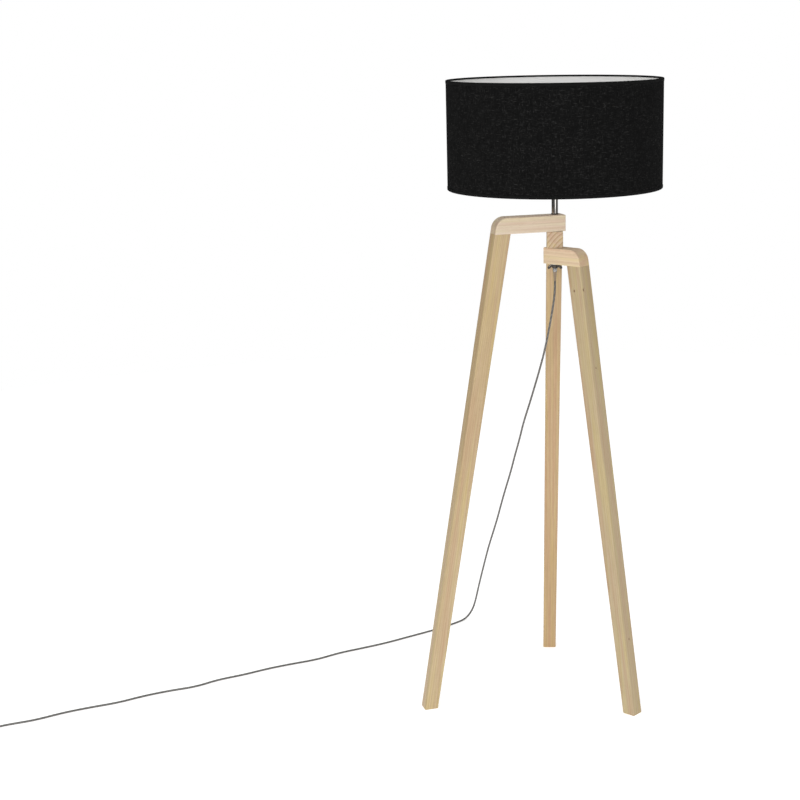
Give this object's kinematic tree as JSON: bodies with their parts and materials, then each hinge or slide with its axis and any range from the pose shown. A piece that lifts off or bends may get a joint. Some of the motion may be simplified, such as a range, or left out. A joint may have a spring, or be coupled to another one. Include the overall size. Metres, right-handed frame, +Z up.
{
  "type": "tripod floor lamp",
  "caption": "Floor lamp on three splayed, tapered wooden legs whose stacked arms are clamped on a tube, with a round black drum shade and a long clear lead.",
  "frame": {"origin": "on the floor, on the axis of the tube that carries the shade", "axes": "+Z up along the tube; +X to the right and +Y away when the lamp is seen from its front, with the top arm pointing left"},
  "size_m": [1.7562, 0.8002, 1.5],
  "materials": {
    "birch_wood": "satin, clear water-based lacquer",
    "dowel_wood": "plain",
    "black_linen": "matte woven",
    "white_liner": "matte",
    "black_binding": "ribbed tape",
    "white_steel": "satin powder coat",
    "polished_nickel": "polished",
    "zinc_steel": "zinc plated",
    "black_nut": "black e-coat",
    "fibre": "vulcanised fibre",
    "black_holder": "moulded",
    "porcelain": "glazed porcelain",
    "nickelled_brass": "bright",
    "cap_metal": "bright",
    "black_glass": "glossy",
    "bulb_white": "matte",
    "opal_globe": "satin opal",
    "board_white": "matte",
    "clear_pvc": "clear PVC over grey cores",
    "pin_nickel": "polished"
  },
  "bodies": {
    "stand": {"top_arm": "birch_wood", "top_leg": "birch_wood", "top_dowels": "dowel_wood", "upper_friction_washer": "fibre", "threaded_tube": "zinc_steel", "pole_collar": "black_nut", "pole": "polished_nickel", "strain_relief": "clear_pvc", "inner_cable": "clear_pvc", "holder_cap": "black_holder", "holder_body": "black_holder", "holder_insert": "porcelain", "screw_shell": "nickelled_brass", "centre_contact": "nickelled_brass", "terminal_screws": "zinc_steel", "switch_block": "black_holder", "bulb_contact": "cap_metal", "bulb_insulator": "black_glass", "bulb_cap": "cap_metal", "bulb_housing": "bulb_white", "bulb_board": "board_white", "bulb_globe": "opal_globe", "shade_fabric": "black_linen", "shade_liner": "white_liner", "bottom_trim": "black_binding", "top_trim": "black_binding", "top_wire": "white_steel", "bottom_wire": "white_steel", "carrier_hub": "white_steel", "carrier_arms": "white_steel", "lower_shade_nut": "black_holder", "upper_shade_nut": "black_holder", "cord": "clear_pvc", "cord_coil": "clear_pvc", "plug_lead": "clear_pvc", "plug_body": "clear_pvc", "plug_pins": "pin_nickel"},
    "middle_leg_set": {"middle_arm": "birch_wood", "middle_leg": "birch_wood", "middle_dowels": "dowel_wood", "lower_friction_washer": "fibre"},
    "bottom_leg_set": {"bottom_arm": "birch_wood", "bottom_leg": "birch_wood", "bottom_dowels": "dowel_wood"},
    "washer_set": {"clamp_washer": "zinc_steel"},
    "nut_set": {"wing_nut": "black_nut"},
    "knob_set": {"switch_spindle": "zinc_steel", "switch_knob": "black_holder"}
  },
  "joints": [
    {"name": "middle_leg_swivel", "type": "hinge", "parent": "stand", "child": "middle_leg_set", "pos_m": [0, 0, 1.131], "axis": [0, 0, 1], "range_deg": [-227, 0]},
    {"name": "bottom_leg_swivel", "type": "hinge", "parent": "stand", "child": "bottom_leg_set", "pos_m": [0, 0, 1.0925], "axis": [0, 0, 1], "range_deg": [-121, 0]},
    {"name": "clamp_washer_slide", "type": "slide", "parent": "stand", "child": "washer_set", "axis": [0, 0, 1], "range_m": [-0.003, 0]},
    {"name": "wing_nut_turn", "type": "hinge", "parent": "washer_set", "child": "nut_set", "pos_m": [0, 0, 1.066], "axis": [0, 0, 1], "range_deg": [-1080, 0]},
    {"name": "switch_turn", "type": "hinge", "parent": "stand", "child": "knob_set", "pos_m": [0.02165, 0.0125, 1.2665], "axis": [0.866, 0.5, 0], "continuous": true}
  ],
  "couplings": [
    {"joint": "wing_nut_turn", "follows": "clamp_washer_slide", "rad_per_m": 6283.2}
  ]
}
